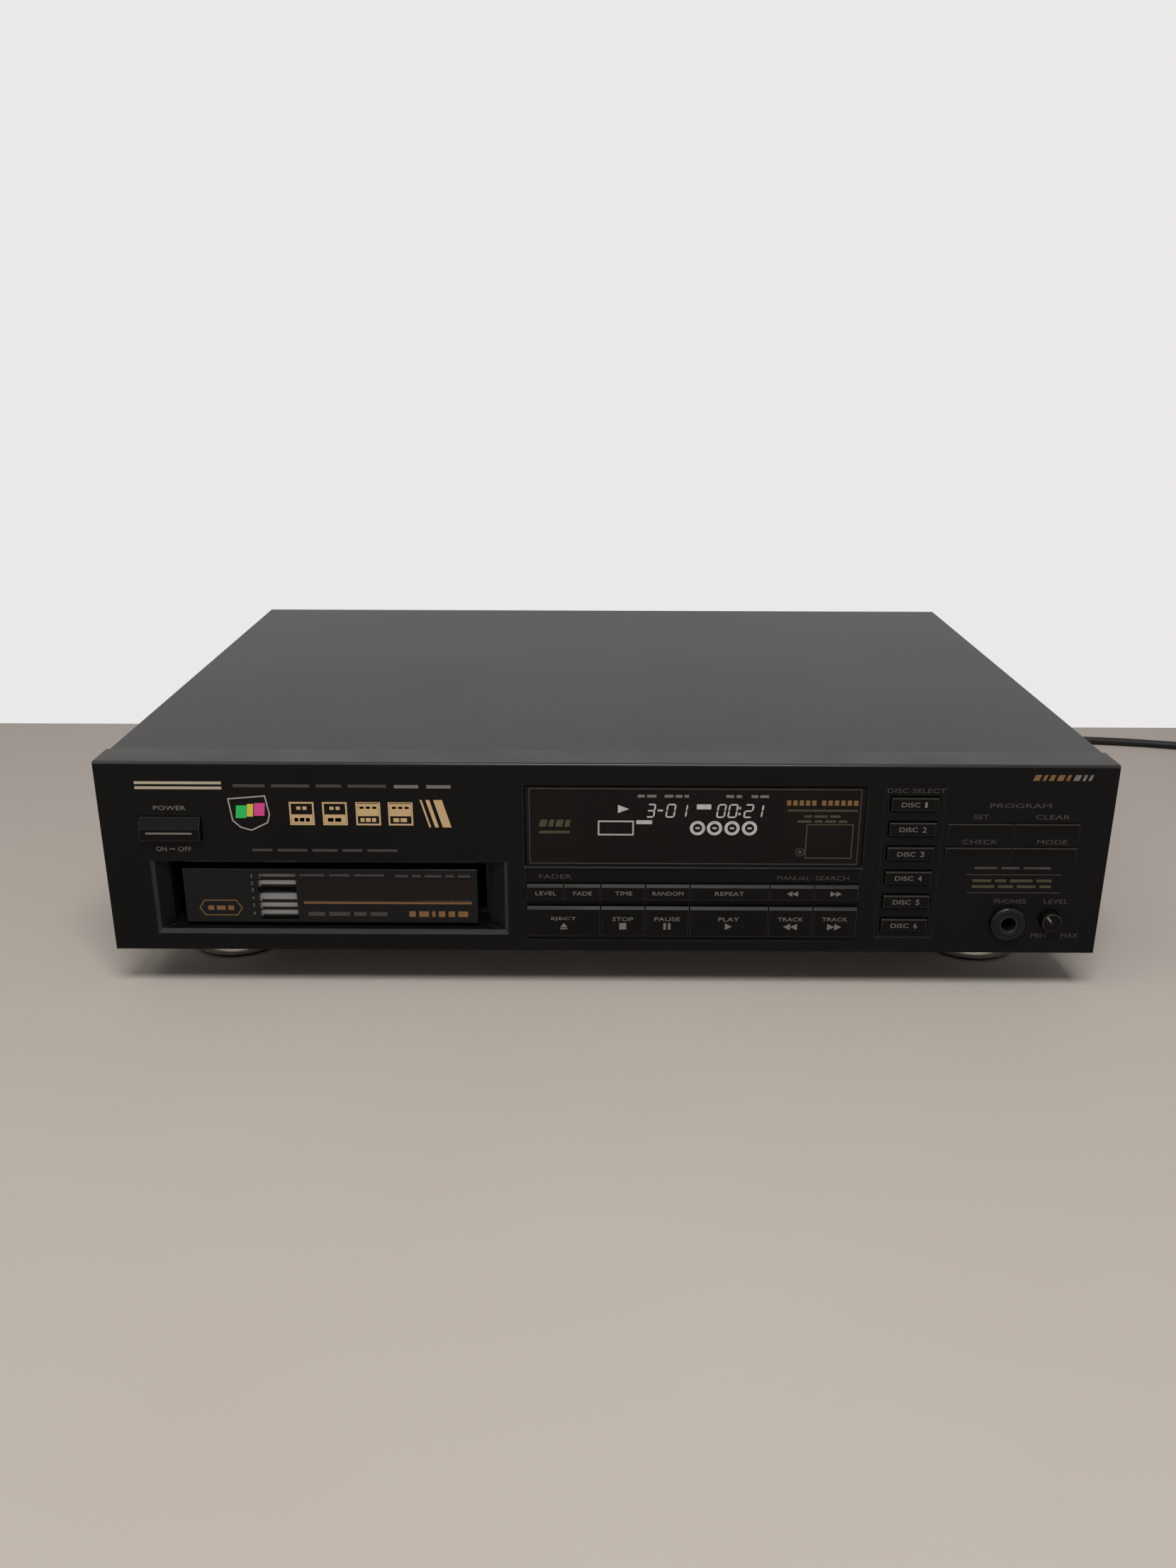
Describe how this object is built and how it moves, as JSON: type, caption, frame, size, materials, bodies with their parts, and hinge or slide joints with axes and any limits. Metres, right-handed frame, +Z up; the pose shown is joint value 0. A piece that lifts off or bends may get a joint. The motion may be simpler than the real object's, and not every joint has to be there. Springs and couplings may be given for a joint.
{
  "type": "multi disc CD changer",
  "caption": "Black component hi-fi compact disc changer with a front-loading magazine of swing-out trays, a display window, push keys, a headphone socket and a mains lead.",
  "frame": {"origin": "on the surface that the feet stand on, midway between the sides and midway between the front panel's face and the rear of the cover", "axes": "+Z up; the front faces -Y; +X to the right seen from the front"},
  "size_m": [0.7181, 0.3789, 0.105],
  "materials": {
    "black_plastic": "satin black moulded plastic",
    "black_steel": "satin black paint on sheet steel",
    "zinc_steel": "zinc plated sheet",
    "smoked_acrylic": "smoked clear plastic, polished",
    "tube_glass": "sealed glass tube",
    "circuit_board": "phenolic board",
    "core_steel": "varnished laminations",
    "socket_plastic": "moulded socket bodies",
    "key_plastic": "satin moulded key caps",
    "magazine_plastic": "glossy dark moulded shell",
    "tray_plastic": "light grey moulded trays",
    "disc_polycarbonate": "mirror coated polycarbonate",
    "drive_plastic": "moulded mechanism parts",
    "motor_can": "plated motor can",
    "polished_steel": "ground and polished rod",
    "cord_pvc": "flexible black PVC"
  },
  "bodies": {
    "chassis": {"front_panel": "black_plastic", "top_cover": "black_steel", "base_chassis": "zinc_steel", "rear_panel": "black_steel", "feet": "black_plastic", "housing_screws": "black_steel", "display_window": "smoked_acrylic", "display_tube": "tube_glass", "control_board": "circuit_board", "phones_board": "socket_plastic", "magazine_bay": "zinc_steel", "lift_frame": "zinc_steel", "main_board": "circuit_board", "power_transformer": "core_steel", "output_jacks": "socket_plastic", "cord_bush": "cord_pvc", "power_cord": "cord_pvc", "cord_coil": "cord_pvc", "power_plug": "cord_pvc"},
    "power_key": {"power_key": "key_plastic"},
    "key_fade_level": {"key_fade_level": "key_plastic"},
    "key_fade_time": {"key_fade_time": "key_plastic"},
    "key_time": {"key_time": "key_plastic"},
    "key_random": {"key_random": "key_plastic"},
    "key_repeat": {"key_repeat": "key_plastic"},
    "key_search_back": {"key_search_back": "key_plastic"},
    "key_search_forward": {"key_search_forward": "key_plastic"},
    "key_eject": {"key_eject": "key_plastic"},
    "key_stop": {"key_stop": "key_plastic"},
    "key_pause": {"key_pause": "key_plastic"},
    "key_play": {"key_play": "key_plastic"},
    "key_skip_back": {"key_skip_back": "key_plastic"},
    "key_skip_forward": {"key_skip_forward": "key_plastic"},
    "key_disc_1": {"key_disc_1": "key_plastic"},
    "key_disc_2": {"key_disc_2": "key_plastic"},
    "key_disc_3": {"key_disc_3": "key_plastic"},
    "key_disc_4": {"key_disc_4": "key_plastic"},
    "key_disc_5": {"key_disc_5": "key_plastic"},
    "key_disc_6": {"key_disc_6": "key_plastic"},
    "key_program_set": {"key_program_set": "key_plastic"},
    "key_program_clear": {"key_program_clear": "key_plastic"},
    "key_program_check": {"key_program_check": "key_plastic"},
    "key_program_mode": {"key_program_mode": "key_plastic"},
    "level_knob": {"level_knob": "black_plastic"},
    "magazine": {"magazine_case": "magazine_plastic", "tray_pin": "polished_steel"},
    "tray_1": {"tray_1": "tray_plastic"},
    "tray_2": {"tray_2": "tray_plastic"},
    "tray_3": {"tray_3": "tray_plastic"},
    "tray_4": {"tray_4": "tray_plastic"},
    "tray_5": {"tray_5": "tray_plastic"},
    "tray_6": {"tray_6": "tray_plastic"},
    "disc": {"compact_disc": "disc_polycarbonate"},
    "lift": {"lift_deck": "zinc_steel", "spindle_motor": "motor_can", "pickup_rods": "polished_steel"},
    "turntable": {"turntable": "drive_plastic"},
    "pickup": {"pickup": "drive_plastic"},
    "clamp": {"clamp_plate": "zinc_steel"},
    "puck": {"clamp_puck": "drive_plastic"}
  },
  "joints": [
    {"name": "magazine_slide", "type": "slide", "parent": "chassis", "child": "magazine", "axis": [0, -1, 0], "range_m": [0, 0.14]},
    {"name": "tray_1_swing", "type": "hinge", "parent": "magazine", "child": "tray_1", "pos_m": [-0.17265, -0.027, 0.04], "axis": [0, 0, 1], "range_deg": [0, 90]},
    {"name": "tray_2_swing", "type": "hinge", "parent": "magazine", "child": "tray_2", "pos_m": [-0.17265, -0.027, 0.04], "axis": [0, 0, 1], "range_deg": [0, 90]},
    {"name": "tray_3_swing", "type": "hinge", "parent": "magazine", "child": "tray_3", "pos_m": [-0.17265, -0.027, 0.04], "axis": [0, 0, 1], "range_deg": [-90, 0]},
    {"name": "tray_4_swing", "type": "hinge", "parent": "magazine", "child": "tray_4", "pos_m": [-0.17265, -0.027, 0.04], "axis": [0, 0, 1], "range_deg": [0, 90]},
    {"name": "tray_5_swing", "type": "hinge", "parent": "magazine", "child": "tray_5", "pos_m": [-0.17265, -0.027, 0.04], "axis": [0, 0, 1], "range_deg": [0, 90]},
    {"name": "tray_6_swing", "type": "hinge", "parent": "magazine", "child": "tray_6", "pos_m": [-0.17265, -0.027, 0.04], "axis": [0, 0, 1], "range_deg": [0, 90]},
    {"name": "disc_spin", "type": "hinge", "parent": "tray_3", "child": "disc", "pos_m": [-0.11665, 0.029, 0.0455], "axis": [0, 0, 1], "continuous": true},
    {"name": "lift_travel", "type": "slide", "parent": "chassis", "child": "lift", "axis": [0, 0, -1], "range_m": [0, 0.0128]},
    {"name": "clamp_travel", "type": "slide", "parent": "chassis", "child": "clamp", "axis": [0, 0, 1], "range_m": [0, 0.0123]},
    {"name": "turntable_spin", "type": "hinge", "parent": "lift", "child": "turntable", "pos_m": [-0.11665, 0.029, 0.0595], "axis": [0, 0, 1], "continuous": true},
    {"name": "pickup_travel", "type": "slide", "parent": "lift", "child": "pickup", "axis": [1, 0, 0], "range_m": [0, 0.034]},
    {"name": "puck_spin", "type": "hinge", "parent": "clamp", "child": "puck", "pos_m": [-0.11665, 0.029, 0.028], "axis": [0, 0, 1], "continuous": true},
    {"name": "level_turn", "type": "hinge", "parent": "chassis", "child": "level_knob", "pos_m": [0.1892, -0.152, 0.0359], "axis": [0, 1, 0], "range_deg": [-140, 140]},
    {"name": "power_key_push", "type": "slide", "parent": "chassis", "child": "power_key", "axis": [0, 1, 0], "range_m": [0, 0.0008], "stiffness_N_per_m": 400, "springref_m": -0.0005},
    {"name": "key_fade_level_push", "type": "slide", "parent": "chassis", "child": "key_fade_level", "axis": [0, 1, 0], "range_m": [0, 0.0008], "stiffness_N_per_m": 400, "springref_m": -0.0005},
    {"name": "key_fade_time_push", "type": "slide", "parent": "chassis", "child": "key_fade_time", "axis": [0, 1, 0], "range_m": [0, 0.0008], "stiffness_N_per_m": 400, "springref_m": -0.0005},
    {"name": "key_time_push", "type": "slide", "parent": "chassis", "child": "key_time", "axis": [0, 1, 0], "range_m": [0, 0.0008], "stiffness_N_per_m": 400, "springref_m": -0.0005},
    {"name": "key_random_push", "type": "slide", "parent": "chassis", "child": "key_random", "axis": [0, 1, 0], "range_m": [0, 0.0008], "stiffness_N_per_m": 400, "springref_m": -0.0005},
    {"name": "key_repeat_push", "type": "slide", "parent": "chassis", "child": "key_repeat", "axis": [0, 1, 0], "range_m": [0, 0.0008], "stiffness_N_per_m": 400, "springref_m": -0.0005},
    {"name": "key_search_back_push", "type": "slide", "parent": "chassis", "child": "key_search_back", "axis": [0, 1, 0], "range_m": [0, 0.0008], "stiffness_N_per_m": 400, "springref_m": -0.0005},
    {"name": "key_search_forward_push", "type": "slide", "parent": "chassis", "child": "key_search_forward", "axis": [0, 1, 0], "range_m": [0, 0.0008], "stiffness_N_per_m": 400, "springref_m": -0.0005},
    {"name": "key_eject_push", "type": "slide", "parent": "chassis", "child": "key_eject", "axis": [0, 1, 0], "range_m": [0, 0.0008], "stiffness_N_per_m": 400, "springref_m": -0.0005},
    {"name": "key_stop_push", "type": "slide", "parent": "chassis", "child": "key_stop", "axis": [0, 1, 0], "range_m": [0, 0.0008], "stiffness_N_per_m": 400, "springref_m": -0.0005},
    {"name": "key_pause_push", "type": "slide", "parent": "chassis", "child": "key_pause", "axis": [0, 1, 0], "range_m": [0, 0.0008], "stiffness_N_per_m": 400, "springref_m": -0.0005},
    {"name": "key_play_push", "type": "slide", "parent": "chassis", "child": "key_play", "axis": [0, 1, 0], "range_m": [0, 0.0008], "stiffness_N_per_m": 400, "springref_m": -0.0005},
    {"name": "key_skip_back_push", "type": "slide", "parent": "chassis", "child": "key_skip_back", "axis": [0, 1, 0], "range_m": [0, 0.0008], "stiffness_N_per_m": 400, "springref_m": -0.0005},
    {"name": "key_skip_forward_push", "type": "slide", "parent": "chassis", "child": "key_skip_forward", "axis": [0, 1, 0], "range_m": [0, 0.0008], "stiffness_N_per_m": 400, "springref_m": -0.0005},
    {"name": "key_disc_1_push", "type": "slide", "parent": "chassis", "child": "key_disc_1", "axis": [0, 1, 0], "range_m": [0, 0.0008], "stiffness_N_per_m": 400, "springref_m": -0.0005},
    {"name": "key_disc_2_push", "type": "slide", "parent": "chassis", "child": "key_disc_2", "axis": [0, 1, 0], "range_m": [0, 0.0008], "stiffness_N_per_m": 400, "springref_m": -0.0005},
    {"name": "key_disc_3_push", "type": "slide", "parent": "chassis", "child": "key_disc_3", "axis": [0, 1, 0], "range_m": [0, 0.0008], "stiffness_N_per_m": 400, "springref_m": -0.0005},
    {"name": "key_disc_4_push", "type": "slide", "parent": "chassis", "child": "key_disc_4", "axis": [0, 1, 0], "range_m": [0, 0.0008], "stiffness_N_per_m": 400, "springref_m": -0.0005},
    {"name": "key_disc_5_push", "type": "slide", "parent": "chassis", "child": "key_disc_5", "axis": [0, 1, 0], "range_m": [0, 0.0008], "stiffness_N_per_m": 400, "springref_m": -0.0005},
    {"name": "key_disc_6_push", "type": "slide", "parent": "chassis", "child": "key_disc_6", "axis": [0, 1, 0], "range_m": [0, 0.0008], "stiffness_N_per_m": 400, "springref_m": -0.0005},
    {"name": "key_program_set_push", "type": "slide", "parent": "chassis", "child": "key_program_set", "axis": [0, 1, 0], "range_m": [0, 0.0008], "stiffness_N_per_m": 400, "springref_m": -0.0005},
    {"name": "key_program_clear_push", "type": "slide", "parent": "chassis", "child": "key_program_clear", "axis": [0, 1, 0], "range_m": [0, 0.0008], "stiffness_N_per_m": 400, "springref_m": -0.0005},
    {"name": "key_program_check_push", "type": "slide", "parent": "chassis", "child": "key_program_check", "axis": [0, 1, 0], "range_m": [0, 0.0008], "stiffness_N_per_m": 400, "springref_m": -0.0005},
    {"name": "key_program_mode_push", "type": "slide", "parent": "chassis", "child": "key_program_mode", "axis": [0, 1, 0], "range_m": [0, 0.0008], "stiffness_N_per_m": 400, "springref_m": -0.0005}
  ],
  "couplings": [
    {"joint": "clamp_travel", "follows": "lift_travel", "ratio": 0.96}
  ]
}
